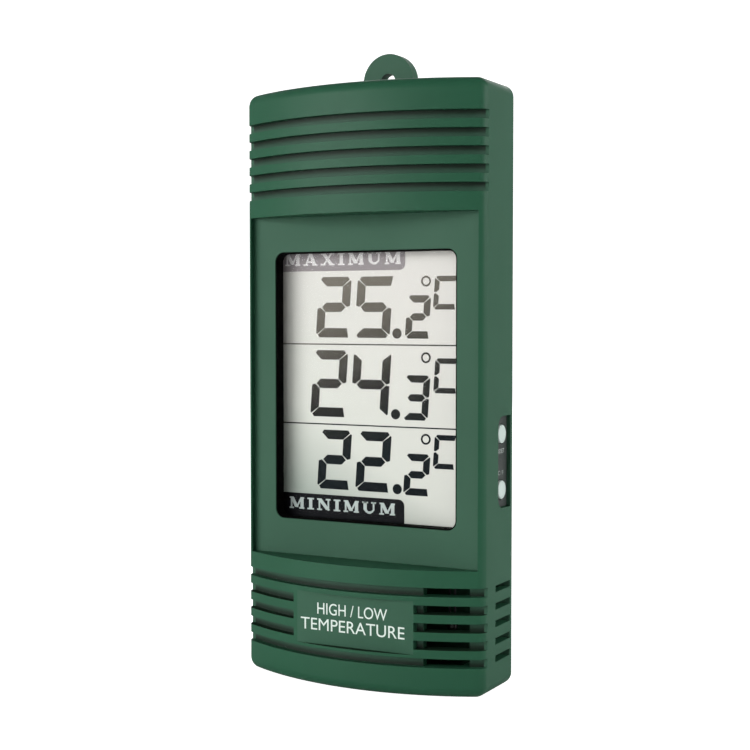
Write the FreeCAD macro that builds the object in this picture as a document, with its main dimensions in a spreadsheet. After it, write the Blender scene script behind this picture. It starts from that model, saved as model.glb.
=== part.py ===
"""A digital maximum and minimum thermometer for a greenhouse wall, as an assembly of separate pieces.

The green case is a front shell, with a bulged and ribbed band above and below a flat window panel, and
a flat rear cover with a hanging eye.  Inside are the display, its board, two side buttons, one AAA cell
behind a battery door, and an air sensor behind the vents at the lower right.

Frame: millimetres, +X to the right of someone reading the display, +Y from the display to the back,
+Z up.  The origin is the middle of the case's base.
"""

import FreeCAD, Part
import math
import os

import Sketcher
from FreeCAD import Placement, Rotation, Vector

# ---------------------------------------------------------------- driving dimensions, in millimetres
DIMENSIONS = (
    ("case_width", 70, "overall width of the case"),
    ("case_height", 155, "height of the case without the hanging eye"),
    ("body_depth", 17.9, "depth of the case behind the bands' side corners"),
    ("bulge", 9.1, "how far the front bands stand out at the middle, in front of their side corners"),
    ("panel_step", 0.8, "how far the window panel lies behind the bands' side corners"),
    ("corner_radius", 3.2, "corners of the case seen from the front"),
    ("front_round", 3, "rounding of the front's outer edge"),
    ("back_round", 0.9, "rounding of the rear cover's outer edge"),
    ("side_wall", 2.4, "thickness of the case's side, top and bottom walls"),
    ("panel_wall", 2, "thickness of the window panel and behind the grooves' floors"),
    ("cover_wall", 1.9, "thickness of the rear cover"),
    ("top_band", 33, "height of the upper bulged band"),
    ("bottom_band", 32.2, "height of the lower bulged band"),
    ("lip_width", 1.6, "width of the raised lip beside the window panel"),
    ("groove_depth", 2, "depth of the grooves between the ribs"),
    ("groove_height", 2.3, "height of each groove"),
    ("groove_pitch", 4.47, "distance from one groove to the next"),
    ("top_margin", 8.15, "plain margin between the top and the first groove"),
    ("base_margin", 7.7, "plain margin between the base and the last groove"),
    ("vent_start", 20, "distance from the middle to the vents' inner end"),
    ("vent_length", 10.9, "length of each open vent in the front"),
    ("side_vent_height", 1.7, "height of each vent in the right side"),
    ("side_vent_length", 9.3, "length of each vent in the right side"),
    ("plate_width", 34.8, "distance between the grooves on each side of the name plate"),
    ("plate_shift", 1, "distance of the name plate's middle to the right of the case's middle"),
    ("plate_land", 1.3, "width left uncut between the left grooves and the flat name plate"),
    ("plate_height", 13.6, "height of the flat name plate"),
    ("plate_margin", 10.8, "distance from the base to the name plate"),
    ("window_width", 53.6, "width of the opening for the display"),
    ("window_height", 71.2, "height of the opening for the display"),
    ("window_middle", 77.2, "height of the display's middle above the base"),
    ("window_radius", 2.6, "corners of the opening"),
    ("bezel_gap", 0.1, "clearance between the bezel's rim and the case"),
    ("bezel_rim", 0.3, "thickness of the black bezel's rim"),
    ("bezel_wall", 1.3, "thickness of the bezel's wall round the lens"),
    ("bezel_setback", 0.15, "depth of the bezel's rim behind the window panel"),
    ("lens_setback", 3.45, "depth of the lens behind the window panel"),
    ("lens_overlap", 1.3, "how far the lens runs behind the bezel's rim"),
    ("lens_thickness", 1.5, "thickness of the clear lens"),
    ("display_setback", 5.4, "depth of the display behind the window panel"),
    ("display_width", 58, "width of the display's glass"),
    ("display_height", 79, "height of the display's front glass"),
    ("display_ledge", 2.6, "bare contact strip at each end of the front glass"),
    ("glass_thickness", 1.1, "thickness of each of the display's two glasses"),
    ("film_thickness", 0.2, "thickness of the polariser and of the reflector"),
    ("film_inset", 1.2, "how far each film stops short of its glass"),
    ("board_setback", 8.2, "depth of the circuit board behind the window panel"),
    ("board_margin", 3, "gap between the circuit board and each side wall"),
    ("board_height", 92, "height of the circuit board"),
    ("board_thickness", 1.2, "thickness of the circuit board"),
    ("board_screw_x", 27, "distance of the board's screws from the middle"),
    ("board_screw_z", 43.5, "distance of the board's screws above and below its middle"),
    ("board_boss", 2.2, "radius of the board's bosses"),
    ("chip_radius", 6.5, "radius of the resin over the chip"),
    ("chip_height", 1.4, "height of the resin over the chip"),
    ("chip_round", 1.2, "rounding of the resin's edge"),
    ("chip_x", 4, "distance of the chip to the left of the board's middle"),
    ("chip_z", 2, "height of the chip above the board's middle"),
    ("crystal_start", 6, "distance of the crystal's can from the board's middle"),
    ("crystal_length", 6, "length of the crystal's can"),
    ("crystal_radius", 1, "radius of the crystal's can"),
    ("crystal_z", 14, "height of the crystal above the board's middle"),
    ("capacitor_length", 2, "length of each chip capacitor"),
    ("capacitor_width", 1.2, "width of each chip capacitor"),
    ("capacitor_height", 0.8, "height of each chip capacitor"),
    ("zebra_width", 2, "height of each rubber connector"),
    ("zebra_length", 52, "length of each rubber connector"),
    ("button_radius", 2.4, "radius of each button"),
    ("button_inset", 4, "distance from the rear seam to the buttons' axes"),
    ("upper_button", 65.7, "height of the upper button"),
    ("lower_button", 51.4, "height of the lower button"),
    ("button_sink", 0.5, "how far the buttons' faces lie inside the case's side"),
    ("button_travel", 0.5, "travel of each button"),
    ("button_edge", 0.35, "rounding of each button's face"),
    ("flange_radius", 3.1, "radius of each button's inner flange"),
    ("flange_thickness", 0.8, "thickness of each button's inner flange"),
    ("legend_top", 70.4, "height of the black button plate's top"),
    ("legend_bottom", 46.8, "height of the black button plate's bottom"),
    ("legend_depth", 7.9, "length of the button plate forward of the rear seam"),
    ("legend_radius", 3, "front corners of the button plate"),
    ("legend_recess", 1.5, "depth of the recess that the button plate lies in"),
    ("legend_thickness", 0.5, "thickness of the button plate"),
    ("running_gap", 0.2, "clearance round each button and in its flange"),
    ("fit_gap", 0.1, "clearance between pieces that drop into each other"),
    ("switch_height", 3.6, "height of each switch above the board"),
    ("switch_length", 6, "length of each switch along the case's side"),
    ("switch_depth", 4.2, "size of each switch across the case"),
    ("switch_setback", 2.3, "distance from the case's inner side to the switches"),
    ("plunger_radius", 0.8, "radius of each switch's plunger"),
    ("plunger_depth", 1.4, "length of each plunger inside its switch"),
    ("screw_x", 28.8, "distance of the case's screws from the middle"),
    ("screw_margin", 5.2, "distance of the case's screws from its top and base"),
    ("boss_radius", 2.3, "radius of the front shell's screw bosses"),
    ("sleeve_radius", 2.65, "radius of the rear cover's screw sleeves"),
    ("sleeve_length", 3.5, "length of the rear cover's screw sleeves"),
    ("sleeve_floor", 1.5, "thickness under each case screw's head"),
    ("head_radius", 1.85, "radius of a case screw's head"),
    ("head_height", 1.4, "height of a case screw's head"),
    ("shank_radius", 1.1, "radius of a case screw's thread"),
    ("shank_length", 8, "length of a case screw under its head"),
    ("small_head_radius", 1.6, "radius of a board screw's head"),
    ("small_head_height", 1.1, "height of a board screw's head"),
    ("small_shank_radius", 0.85, "radius of a board screw's thread"),
    ("small_shank_length", 5, "length of a board screw under its head"),
    ("pilot_spare", 0.5, "depth of each pilot hole past its screw"),
    ("cross_reach", 0.6, "half length of a screw's cross recess, as a share of the head's radius"),
    ("cross_slot", 0.18, "half width of the cross's arms, as a share of the head's radius"),
    ("cross_depth", 0.6, "depth of the cross, as a share of the head's height"),
    ("thread_gap", 0.03, "clearance between a screw's thread and its pilot hole"),
    ("rim_height", 1.2, "height of the rear cover's locating rim"),
    ("rim_wall", 1.2, "thickness of the rear cover's locating rim"),
    ("eye_radius", 7.4, "outer radius of the hanging eye"),
    ("eye_rise", 3, "height of the eye's middle above the case"),
    ("eye_thickness", 3.3, "thickness of the hanging eye"),
    ("eye_hole", 2.2, "radius of the hanging hole"),
    ("cell_radius", 5.25, "radius of the AAA cell"),
    ("cell_length", 44.5, "length of the AAA cell with its nub"),
    ("nub_length", 1, "length of the cell's positive nub"),
    ("nub_radius", 1.9, "radius of the cell's positive nub"),
    ("cell_drop", 16.6, "distance of the cell's axis below the top of the case"),
    ("cell_slack", 0.45, "clearance between the cell and the battery box"),
    ("box_length", 49, "inner length of the battery box"),
    ("box_wall", 1.2, "thickness of the battery box's walls"),
    ("contact_thickness", 0.4, "thickness of the battery contacts"),
    ("cell_round", 0.5, "rounding of the cell's ends"),
    ("spring_face", 1.4, "length of the spring contact's flat that presses on the cell"),
    ("spring_root", 1, "distance of the spring's far end from the contact's edge"),
    ("contact_width", 9, "size of each battery contact across the cell"),
    ("tab_width", 3, "width of each contact's soldering tab"),
    ("tab_length", 3, "length of each contact's tab below the box"),
    ("door_width", 54, "width of the battery door"),
    ("door_height", 16.4, "height of the battery door"),
    ("door_thickness", 1.4, "thickness of the battery door"),
    ("door_radius", 0.8, "corners of the battery door"),
    ("door_gap", 0.25, "clearance round the battery door"),
    ("tongue_x", 18, "distance of the door's tongues from the middle"),
    ("tongue_width", 6, "width of each of the door's tongues"),
    ("tongue_length", 1.8, "length of each of the door's tongues"),
    ("tongue_thickness", 0.7, "thickness of each of the door's tongues"),
    ("latch_setback", 0.3, "depth of the latch's finger edge below the door's face"),
    ("latch_root", 0.2, "how far the latch's strip starts inside the door"),
    ("latch_width", 9, "width of the door's spring latch"),
    ("latch_strip", 0.9, "thickness of the latch's bent strip"),
    ("latch_reach", 3.2, "depth of the latch's bend inside the case"),
    ("latch_rise", 2.1, "distance from the door's edge to the latch's outer face"),
    ("wire_radius", 0.6, "radius of the battery leads"),
    ("wire_lap", 4.2, "length of each battery lead that lies on the board"),
    ("sensor_radius", 1.4, "radius of the air sensor's bead"),
    ("sensor_length", 3.4, "length of the air sensor's bead"),
    ("sensor_round", 1.1, "rounding of the air sensor's lower end"),
    ("sensor_x", 22, "distance of the air sensor from the middle"),
    ("sensor_z", 16, "height of the air sensor's bead"),
    ("lead_radius", 0.3, "radius of the air sensor's leads"),
    ("lead_spacing", 1.5, "distance between the air sensor's leads"),
    ("lead_lap", 1.6, "length of each sensor lead that lies on the board"),
)
GROOVES = 5
# How far a cut runs past the outside of the case, how far any other cut runs past the surface that it
# opens, and how far an added shape runs into the one that it joins.
OVERCUT = 5
PAST = 1
OVERLAP = 0.1

doc = FreeCAD.newDocument("Thermometer")
sheet = doc.addObject("Spreadsheet::Sheet", "Dims")
for row, (alias, size, note) in enumerate(DIMENSIONS, 1):
    sheet.set(f"A{row}", alias)
    sheet.set(f"B{row}", str(size))
    sheet.set(f"C{row}", note)
    sheet.setAlias(f"B{row}", alias)
doc.recompute()

# ---------------------------------------------------------------- levels, as expressions on the sheet
CREST = "(-(Dims.bulge + Dims.body_depth) / 2)"
BACK = "((Dims.bulge + Dims.body_depth) / 2)"
SEAM = f"({BACK} - Dims.cover_wall)"
CORNER = f"({CREST} + Dims.bulge)"
PANEL = f"({CORNER} + Dims.panel_step)"
INNER = f"({PANEL} + Dims.panel_wall)"
HALF = "(Dims.case_width / 2)"
INSIDE = f"({HALF} - Dims.side_wall)"
INNER_CORNER = "(Dims.corner_radius - Dims.side_wall)"
TOP = "Dims.case_height"
BAND_RADIUS = f"((({HALF}) * ({HALF}) + Dims.bulge * Dims.bulge) / (2 * Dims.bulge))"
BAND_CENTRE = f"({CREST} + {BAND_RADIUS})"
FLOOR_RADIUS = f"({BAND_RADIUS} - Dims.groove_depth)"
CAVITY_RADIUS = f"({FLOOR_RADIUS} - Dims.panel_wall)"
PLATE_LEFT = "(Dims.plate_shift - Dims.plate_width / 2)"
PLATE_RIGHT = "(Dims.plate_shift + Dims.plate_width / 2)"
RUNOUT = f"({CORNER} + Dims.front_round * tan(45 deg - asin({HALF} / {BAND_RADIUS}) / 2))"
RUNOUT_END = (f"sqrt({FLOOR_RADIUS} * {FLOOR_RADIUS}"
              f" - ({BAND_CENTRE} - {RUNOUT}) * ({BAND_CENTRE} - {RUNOUT}))")
FIRST_GROOVE = "(Dims.base_margin)"

BEZEL = f"({PANEL} + Dims.bezel_setback)"
LENS = f"({PANEL} + Dims.lens_setback)"
DISPLAY = f"({PANEL} + Dims.display_setback)"
FRONT_GLASS = f"({DISPLAY} + Dims.film_thickness)"
REAR_GLASS = f"({FRONT_GLASS} + Dims.glass_thickness)"
REFLECTOR = f"({REAR_GLASS} + Dims.glass_thickness)"
BOARD = f"({PANEL} + Dims.board_setback)"
BOARD_BACK = f"({BOARD} + Dims.board_thickness)"
BOARD_WIDTH = f"(2 * ({INSIDE} - Dims.board_margin))"
MIDDLE = "Dims.window_middle"
BOARD_BASE = f"({MIDDLE} - Dims.board_height / 2)"
BOARD_TOP = f"({MIDDLE} + Dims.board_height / 2)"

BUTTON_Y = f"({SEAM} - Dims.button_inset)"
BUTTON_HOLE = "(Dims.button_radius + Dims.running_gap)"
LEGEND_FLOOR = f"({HALF} - Dims.legend_recess)"
FLANGE = f"({INSIDE} - Dims.running_gap / 2 - Dims.flange_thickness)"
SWITCH = f"({INSIDE} - Dims.switch_setback)"

HEAD_SEAT = f"({SEAM} - Dims.sleeve_length + Dims.sleeve_floor)"
SLEEVE_END = f"({SEAM} - Dims.sleeve_length)"
BOSS_ROOT = (f"({BAND_CENTRE} - sqrt({FLOOR_RADIUS} * {FLOOR_RADIUS}"
             " - (Dims.screw_x + Dims.boss_radius) * (Dims.screw_x + Dims.boss_radius)))")

DOOR_FACE = f"({BACK} - Dims.door_thickness)"
LEDGE = f"({DOOR_FACE} - Dims.box_wall)"
CELL_Z = f"({TOP} - Dims.cell_drop)"
CELL_Y = f"({DOOR_FACE} - Dims.cell_slack - Dims.cell_radius)"
BOX_HALF = "(Dims.cell_radius + Dims.cell_slack)"
BOX_END = "(Dims.box_length / 2)"
CELL_TIP = f"({BOX_END} - Dims.contact_thickness)"
CELL_END = f"({CELL_TIP} - Dims.cell_length)"
DOOR_BASE = f"({CELL_Z} - Dims.door_height / 2)"
DOOR_TOP = f"({CELL_Z} + Dims.door_height / 2)"
DOOR_SIDE = "(Dims.door_width / 2)"
LATCH_INNER = f"({DOOR_FACE} - Dims.latch_reach)"
LATCH_TOP = f"({DOOR_TOP} + Dims.latch_rise)"
LATCH_SWEEP = (f"({DOOR_BASE} + sqrt((Dims.door_thickness + Dims.latch_reach)"
               f" * (Dims.door_thickness + Dims.latch_reach)"
               f" + ({LATCH_TOP} - {DOOR_BASE}) * ({LATCH_TOP} - {DOOR_BASE})))")
SENSOR_Y = f"({BOARD} - Dims.lead_radius)"


def number(expression):
    """The value of an expression on the sheet."""
    return float(sheet.evalExpression(str(expression)))


# ---------------------------------------------------------------- outlines
# A loop is a list of corners.  A corner is (across, up) or (across, up, radius), where the radius bends
# the stretch to the next corner into an arc: positive turns to the left, negative to the right.

def rectangle(left, low, right, high):
    """A rectangle between two corners."""
    return [(left, low), (right, low), (right, high), (left, high)]


def rounded(left, low, right, high, radius):
    """A rectangle whose four corners are rounded."""
    return [(f"{left} + {radius}", low), (f"{right} - {radius}", low, radius),
            (right, f"{low} + {radius}"), (right, f"{high} - {radius}", radius),
            (f"{right} - {radius}", high), (f"{left} + {radius}", high, radius),
            (left, f"{high} - {radius}"), (left, f"{low} + {radius}", radius)]


def centred(width, height, middle, radius=None):
    """A rectangle about X = 0 and a middle height, with its corners rounded if a radius is given."""
    ends = (f"-({width}) / 2", f"{middle} - ({height}) / 2", f"({width}) / 2", f"{middle} + ({height}) / 2")
    return rounded(*ends, radius) if radius else rectangle(*ends)


def circle(across, up, radius):
    """A full circle."""
    return (across, up, radius)


def four(across, upper, lower, radius):
    """A circle at each of four mirrored places."""
    return [circle(f"{side}{across}", up, radius) for side in ("", "-") for up in (upper, lower)]


# ---------------------------------------------------------------- sketches and features
VIEWS = {"front": ("XZ_Plane", -1), "top": ("XY_Plane", 1), "side": ("YZ_Plane", 1)}


def pin(sketch, geometry, point, across, up):
    """Ties a sketch's point to two expressions, or to an axis where an expression is plain zero."""
    for kind, axis, target in (("DistanceX", -2, across), ("DistanceY", -1, up)):
        if str(target) == "0":
            sketch.addConstraint(Sketcher.Constraint("PointOnObject", geometry, point, axis))
            continue
        place = sketch.addConstraint(Sketcher.Constraint(kind, -1, 1, geometry, point, number(target)))
        sketch.setExpression(f"Constraints[{place}]", str(target))


def tie_radius(sketch, geometry, radius):
    """Ties an arc's or a circle's radius to an expression."""
    place = sketch.addConstraint(Sketcher.Constraint("Radius", geometry, number(radius)))
    sketch.setExpression(f"Constraints[{place}]", str(radius))


def arc_between(start, end, radius, turns_left):
    """The arc from start to end, with its centre on the left of the way if it turns left."""
    chord = end - start
    side = Vector(-chord.y, chord.x, 0).normalize() * (1 if turns_left else -1)
    centre = (start + end) * 0.5 + side * math.sqrt(max(radius**2 - chord.Length**2 / 4, 0))
    first, last = (start, end) if turns_left else (end, start)
    angles = [math.atan2(point.y - centre.y, point.x - centre.x) for point in (first, last)]
    return Part.ArcOfCircle(Part.Circle(centre, Vector(0, 0, 1), radius), *angles)


def draw_loop(sketch, corners):
    """Draws one closed loop of lines and arcs, each corner tied to its expressions."""
    points = [Vector(number(corner[0]), number(corner[1]), 0) for corner in corners]
    ends = []
    for index, corner in enumerate(corners):
        start, end = points[index], points[(index + 1) % len(points)]
        if len(corner) == 2:
            ends.append((sketch.addGeometry(Part.LineSegment(start, end)), 1, 2))
            continue
        turns_left = not str(corner[2]).startswith("-")
        size = corner[2] if turns_left else corner[2][1:]
        geometry = sketch.addGeometry(arc_between(start, end, number(size), turns_left))
        tie_radius(sketch, geometry, size)
        ends.append((geometry, 1, 2) if turns_left else (geometry, 2, 1))
    for index, corner in enumerate(corners):
        geometry, start, _ = ends[index]
        previous, _, finish = ends[index - 1]
        sketch.addConstraint(Sketcher.Constraint("Coincident", previous, finish, geometry, start))
        pin(sketch, geometry, start, corner[0], corner[1])


def draw(body, view, level, loops):
    """A sketch in one of the body's own planes, moved to a level along the plane's axis."""
    role, sense = VIEWS[view]
    plane = next(feature for feature in body.Origin.OriginFeatures if feature.Role == role)
    sketch = body.newObject("Sketcher::SketchObject", f"{body.Label}_outline")
    sketch.AttachmentSupport = [(plane, "")]
    sketch.MapMode = "FlatFace"
    sketch.setExpression("AttachmentOffset.Base.z", f"{sense} * ({level})")
    for loop in loops:
        if isinstance(loop, tuple):
            geometry = sketch.addGeometry(
                Part.Circle(Vector(number(loop[0]), number(loop[1]), 0), Vector(0, 0, 1), number(loop[2])))
            tie_radius(sketch, geometry, loop[2])
            pin(sketch, geometry, 3, loop[0], loop[1])
        else:
            draw_loop(sketch, loop)
    return sketch


def extrude(body, kind, view, near, far, loops):
    """A Pad or a Pocket from one level to a greater one along the view's axis."""
    feature = body.newObject(f"PartDesign::{kind}", f"{body.Label}_{kind.lower()}")
    feature.Profile = draw(body, view, near, loops)
    feature.setExpression("Length", f"({far}) - ({near})")
    feature.Reversed = (kind == "Pad") == (VIEWS[view][1] < 0)
    body.Tip = feature
    return feature


def add(body, view, near, far, *loops):
    """Adds a prism to the body."""
    return extrude(body, "Pad", view, near, far, loops)


def cut(body, view, near, far, *loops):
    """Cuts a prism out of the body."""
    return extrude(body, "Pocket", view, near, far, loops)


def round_edges(body, radius, chosen):
    """Rounds the edges of the body's last feature that a test picks out."""
    doc.recompute()
    base = body.Tip
    names = [f"Edge{place}" for place, edge in enumerate(base.Shape.Edges, 1) if chosen(edge)]
    feature = body.newObject("PartDesign::Fillet", f"{body.Label}_fillet")
    feature.Base = (base, names)
    feature.setExpression("Radius", radius)
    body.Tip = feature
    return feature


def new_body(label, group=False):
    """A body for one piece, or for a group of separate identical pieces."""
    body = doc.addObject("PartDesign::Body", label)
    body.Label = label
    body.AllowCompound = group
    return body


def slab(label, view, near, far, *loops):
    """A piece that is one prism."""
    body = new_body(label)
    add(body, view, near, far, *loops)
    return body


def lies_at(edge, axis, level):
    """Whether all of an edge lies in the plane where one coordinate has a given value."""
    points = edge.discretize(5)
    return all(abs(getattr(point, axis) - level) < 1e-4 for point in points)


# ---------------------------------------------------------------- front shell
def groove_base(index, first):
    """The lower edge of one groove, counted upwards from the lowest."""
    return f"({first} + {index} * Dims.groove_pitch)"


def groove_loop():
    """The plan of a groove across the whole front, running out just behind the side corners."""
    past = f"{HALF} + {OVERCUT}"
    front = f"{CREST} - {OVERCUT}"
    return [(f"-({RUNOUT_END})", RUNOUT, FLOOR_RADIUS), (RUNOUT_END, RUNOUT), (past, RUNOUT), (past, front),
            (f"-({past})", front), (f"-({past})", RUNOUT)]


def level_on(radius, across):
    """The level of the bands, or of the grooves' floor, at a distance from the middle."""
    return f"{BAND_CENTRE} - sqrt({radius} * {radius} - ({across}) * ({across}))"


def half_groove_loop(side):
    """The plan of a groove from the name plate's end to one side corner."""
    past = f"{HALF} + {OVERCUT}"
    front = f"{CREST} - {OVERCUT}"
    if side > 0:
        return [(PLATE_RIGHT, level_on(FLOOR_RADIUS, PLATE_RIGHT), FLOOR_RADIUS), (RUNOUT_END, RUNOUT),
                (past, RUNOUT), (past, front), (PLATE_RIGHT, front)]
    return [(f"-({RUNOUT_END})", RUNOUT, FLOOR_RADIUS), (PLATE_LEFT, level_on(FLOOR_RADIUS, PLATE_LEFT)),
            (PLATE_LEFT, front), (f"-({past})", front), (f"-({past})", RUNOUT)]


def plate_loop():
    """The plan of the flat name plate, a chord that meets the band's surface at both ends."""
    left = f"{PLATE_LEFT} + Dims.plate_land"
    front = f"{CREST} - {OVERCUT}"
    return [(left, level_on(BAND_RADIUS, left)), (PLATE_RIGHT, level_on(BAND_RADIUS, PLATE_RIGHT)),
            (PLATE_RIGHT, front), (left, front)]


def cut_grooves(shell):
    """Five grooves in each band; the middle three of the lower band stop at the name plate."""
    first_top = f"({TOP} - Dims.top_margin - Dims.groove_height - {GROOVES - 1} * Dims.groove_pitch)"
    for index in range(GROOVES):
        low = groove_base(index, first_top)
        cut(shell, "top", low, f"{low} + Dims.groove_height", groove_loop())
        low = groove_base(index, FIRST_GROOVE)
        beside_plate = 0 < index < GROOVES - 1
        loops = [half_groove_loop(-1), half_groove_loop(1)] if beside_plate else [groove_loop()]
        cut(shell, "top", low, f"{low} + Dims.groove_height", *loops)


def cut_vents(shell):
    """Slots through the lower grooves' floors at the right, and through the right side beside them."""
    fronts, sides = [], []
    for index in range(GROOVES):
        low = groove_base(index, FIRST_GROOVE)
        fronts.append(rectangle("Dims.vent_start", low, "Dims.vent_start + Dims.vent_length",
                                f"{low} + Dims.groove_height"))
        middle = f"({low} + Dims.groove_height / 2)"
        sides.append(rectangle(f"{SEAM} - Dims.side_vent_length", f"{middle} - Dims.side_vent_height / 2",
                               f"{SEAM} + {OVERCUT}", f"{middle} + Dims.side_vent_height / 2"))
    cut(shell, "front", f"{CREST} - {OVERCUT}", f"{INNER} + {PAST}", *fronts)
    cut(shell, "side", f"{INSIDE} - {PAST}", f"{HALF} + {OVERCUT}", *sides)


def legend_loop(gap):
    """The button plate's outline from the side: straight at the seam, rounded at the front."""
    front = f"({SEAM} - Dims.legend_depth + {gap})"
    low = f"(Dims.legend_bottom + {gap})"
    high = f"(Dims.legend_top - {gap})"
    radius = f"(Dims.legend_radius - {gap})"
    back = SEAM if gap != "0" else f"{SEAM} + {OVERCUT}"
    return [(f"{front} + {radius}", low), (back, low), (back, high), (f"{front} + {radius}", high, radius),
            (front, f"{high} - {radius}"), (front, f"{low} + {radius}", radius)]


def button_circles(radius):
    """The two buttons' circles, seen from the side."""
    return [circle(BUTTON_Y, f"Dims.{place}_button", radius) for place in ("upper", "lower")]


def make_front_shell():
    """The moulded front: bulged bands, flat window panel, vents, bosses and the buttons' wall."""
    shell = new_body("front_shell")
    add(shell, "front", CREST, SEAM, rounded(f"-{HALF}", "0", HALF, TOP, "Dims.corner_radius"))
    beyond = f"{HALF} + {OVERCUT}"
    front = f"{CREST} - {OVERCUT}"
    outside = [(f"-{HALF}", CORNER, BAND_RADIUS), (HALF, CORNER), (beyond, CORNER), (beyond, front),
               (f"-({beyond})", front), (f"-({beyond})", CORNER)]
    cut(shell, "top", f"-{OVERCUT}", f"{TOP} + {OVERCUT}", outside)
    centre, radius, corner = number(BAND_CENTRE), number(BAND_RADIUS), number(CORNER)

    def on_front(edge):
        return all(abs(math.hypot(point.x, point.y - centre) - radius) < 1e-3 and point.y < corner + 1e-3
                   for point in edge.discretize(5))

    round_edges(shell, "Dims.front_round", on_front)
    panel_side = f"({HALF} - Dims.lip_width)"
    cut(shell, "front", front, PANEL, rectangle(f"-{panel_side}", "Dims.bottom_band", panel_side,
                                                f"{TOP} - Dims.top_band"))
    cut_grooves(shell)
    cut(shell, "top", "Dims.plate_margin", "Dims.plate_margin + Dims.plate_height", plate_loop())
    cut(shell, "front", INNER, f"{SEAM} + {OVERCUT}",
        rounded(f"-{INSIDE}", "Dims.side_wall", INSIDE, f"{TOP} - Dims.side_wall", INNER_CORNER))
    chord = f"sqrt({CAVITY_RADIUS} * {CAVITY_RADIUS} - ({BAND_CENTRE} - {INNER}) * ({BAND_CENTRE} - {INNER}))"
    hollow = [(f"-({chord})", INNER, CAVITY_RADIUS), (chord, INNER)]
    cut(shell, "top", "Dims.side_wall", "Dims.bottom_band - Dims.side_wall", hollow)
    cut(shell, "top", f"{TOP} - Dims.top_band + Dims.side_wall", f"{TOP} - Dims.side_wall", hollow)
    cut(shell, "front", front, f"{INNER} + {PAST}",
        centred("Dims.window_width", "Dims.window_height", MIDDLE, "Dims.window_radius"))
    cut_vents(shell)
    cut(shell, "side", LEGEND_FLOOR, f"{HALF} + {OVERCUT}", legend_loop("0"))
    cut(shell, "side", f"{INSIDE} - {PAST}", f"{HALF} + {OVERCUT}", *button_circles(BUTTON_HOLE))
    corners = ("Dims.screw_x", f"{TOP} - Dims.screw_margin", "Dims.screw_margin")
    add(shell, "front", BOSS_ROOT, SLEEVE_END, *four(*corners, "Dims.boss_radius"))
    cut(shell, "front", f"{HEAD_SEAT} - Dims.shank_length - Dims.pilot_spare", f"{SLEEVE_END} + {PAST}",
        *four(*corners, "Dims.shank_radius + Dims.thread_gap"))
    inner = ("Dims.board_screw_x", f"{MIDDLE} + Dims.board_screw_z", f"{MIDDLE} - Dims.board_screw_z")
    add(shell, "front", f"{INNER} - {OVERLAP}", BOARD, *four(*inner, "Dims.board_boss"))
    cut(shell, "front", f"{BOARD_BACK} - Dims.small_shank_length - Dims.pilot_spare", f"{BOARD} + {PAST}",
        *four(*inner, "Dims.small_shank_radius + Dims.thread_gap"))
    return shell


# ---------------------------------------------------------------- rear cover and battery door
def tongue_loops(grow, root):
    """The two tongues below the door, from the front, grown by a clearance and run up into the door."""
    half = f"(Dims.tongue_width / 2 + {grow})"
    low = f"{DOOR_BASE} - Dims.tongue_length - {grow}"
    return [rectangle(f"{side}Dims.tongue_x - {half}", low, f"{side}Dims.tongue_x + {half}",
                      f"{DOOR_BASE} + {root}") for side in ("", "-")]


def eye_loop(base, middle):
    """The hanging eye from the front: straight sides from its base to its middle, then half a circle."""
    radius = "Dims.eye_radius"
    return [(f"-{radius}", base), (radius, base), (radius, middle, radius),
            ("0", f"{middle} + {radius}", radius), (f"-{radius}", middle)]


def rim_loop():
    """The locating rim from the front, open on the right below the button plate's top, for the switches."""
    gap = "Dims.fit_gap"
    left, right = f"-({INSIDE} - {gap})", f"{INSIDE} - {gap}"
    low, high = f"Dims.side_wall + {gap}", f"{TOP} - Dims.side_wall - {gap}"
    inner_left, inner_right = f"{left} + Dims.rim_wall", f"{right} - Dims.rim_wall"
    inner_low, inner_high = f"{low} + Dims.rim_wall", f"{high} - Dims.rim_wall"
    open_end = f"{inner_right} - {OVERCUT}"
    switch_side = f"Dims.legend_top + {OVERCUT}"
    bend = INNER_CORNER
    return [(f"{left} + {bend}", low), (open_end, low), (open_end, inner_low), (inner_left, inner_low),
            (inner_left, inner_high), (inner_right, inner_high), (inner_right, switch_side),
            (right, switch_side), (right, f"{high} - {bend}", bend), (f"{right} - {bend}", high),
            (f"{left} + {bend}", high, bend), (left, f"{high} - {bend}"), (left, f"{low} + {bend}", bend)]


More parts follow.
